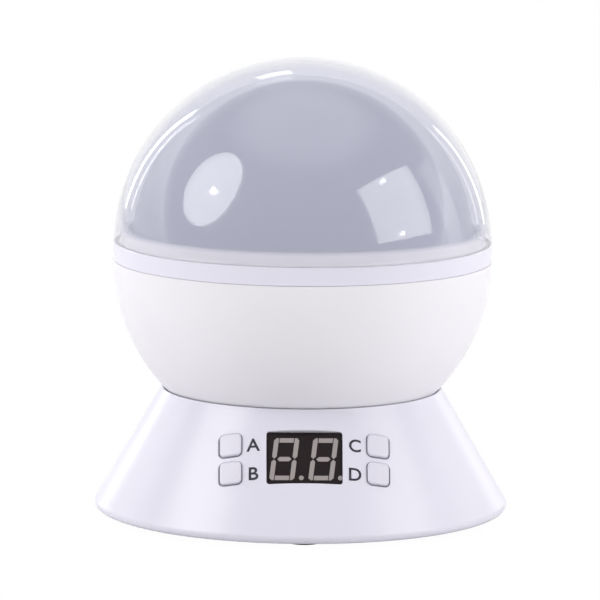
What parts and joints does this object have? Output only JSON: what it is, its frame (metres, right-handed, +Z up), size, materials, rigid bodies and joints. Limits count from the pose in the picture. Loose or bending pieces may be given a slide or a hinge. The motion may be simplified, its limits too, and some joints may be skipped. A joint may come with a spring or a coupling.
{
  "type": "star night light projector",
  "caption": "Tabletop star projector night light: a turning ball with a lift-off translucent dome over a pierced star dome, on a flared base with a timer display and keys.",
  "frame": {"origin": "centre of the footprint, on the plane that the rubber feet stand on", "axes": "+Z up along the axis that the ball turns on; the display and keys face -Y; +X is to the right of a viewer in front"},
  "size_m": [0.1312, 0.1312, 0.145],
  "materials": {
    "base_gloss": "glossy moulded plastic, warm lilac white",
    "key_gloss": "glossy moulded plastic",
    "plate_plastic": "fine moulded texture",
    "bowl_matt": "matt moulded plastic",
    "belt_gloss": "satin gloss plastic",
    "cover_milky": "polished translucent milky plastic",
    "star_film": "dark printed film",
    "inner_white": "white reflector plastic",
    "gear_plastic": "natural acetal",
    "washer_plastic": "low friction plastic",
    "steel": "bright zinc",
    "brass_bush": "sintered",
    "rubber_grey": "soft grey",
    "cell_jacket": "plain jacket",
    "board_green": "solder mask",
    "display_black": "black display face",
    "segment_grey": "unlit segments",
    "switch_black": "black",
    "chip_white": "white package",
    "lens_clear": "clear lens",
    "lead_red": "insulation"
  },
  "bodies": {
    "base": {"base_shell": "base_gloss", "base_plate": "plate_plastic", "base_screws": "steel", "rubber_feet": "rubber_grey", "battery_cells": "cell_jacket", "battery_contacts": "steel", "display_module": "display_black", "digit_segments": "segment_grey", "display_pins": "steel", "control_board": "board_green", "board_screws": "steel", "switch_bodies": "switch_black", "usb_board": "board_green", "usb_socket": "steel", "deck_plate": "plate_plastic", "deck_screws": "steel", "spindle": "steel", "spindle_clip": "steel", "motor": "steel", "motor_screws": "steel", "lamp_post": "inner_white", "lamp_board": "board_green", "star_lamp": "lens_clear", "colour_chips": "chip_white", "lamp_leads": "lead_red"},
    "ball": {"bowl": "bowl_matt", "hub_bush": "brass_bush", "ball_gear": "gear_plastic", "gear_screws": "steel", "thrust_washer": "washer_plastic", "belt_ring": "belt_gloss", "reflector_plate": "inner_white", "reflector_screws": "steel", "star_dome": "star_film"},
    "cover": {"dome_cover": "cover_milky"},
    "pinion": {"drive_pinion": "gear_plastic", "output_shaft": "steel"},
    "door": {"battery_door": "plate_plastic"},
    "key_a": {"button_a": "key_gloss", "plunger_a": "switch_black"},
    "key_b": {"button_b": "key_gloss", "plunger_b": "switch_black"},
    "key_c": {"button_c": "key_gloss", "plunger_c": "switch_black"},
    "key_d": {"button_d": "key_gloss", "plunger_d": "switch_black"}
  },
  "joints": [
    {"name": "ball_spin", "type": "hinge", "parent": "base", "child": "ball", "pos_m": [0, 0, 0.034], "axis": [0, 0, 1], "continuous": true},
    {"name": "cover_lift", "type": "slide", "parent": "ball", "child": "cover", "axis": [0, 0, 1], "range_m": [0, 0.075]},
    {"name": "pinion_spin", "type": "hinge", "parent": "base", "child": "pinion", "pos_m": [0.0375, 0, 0.0265], "axis": [0, 0, 1], "continuous": true},
    {"name": "battery_door_hinge", "type": "hinge", "parent": "base", "child": "door", "pos_m": [0, -0.02415, 0.0025], "axis": [-1, 0, 0], "range_deg": [0, 65]},
    {"name": "key_a_press", "type": "slide", "parent": "base", "child": "key_a", "axis": [0, 0.8647, -0.5023], "range_m": [0, 0.0006], "stiffness_N_per_m": 1500},
    {"name": "key_b_press", "type": "slide", "parent": "base", "child": "key_b", "axis": [0, 0.8647, -0.5023], "range_m": [0, 0.0006], "stiffness_N_per_m": 1500},
    {"name": "key_c_press", "type": "slide", "parent": "base", "child": "key_c", "axis": [0, 0.8647, -0.5023], "range_m": [0, 0.0006], "stiffness_N_per_m": 1500},
    {"name": "key_d_press", "type": "slide", "parent": "base", "child": "key_d", "axis": [0, 0.8647, -0.5023], "range_m": [0, 0.0006], "stiffness_N_per_m": 1500}
  ],
  "couplings": [
    {"joint": "pinion_spin", "follows": "ball_spin", "ratio": -4}
  ]
}
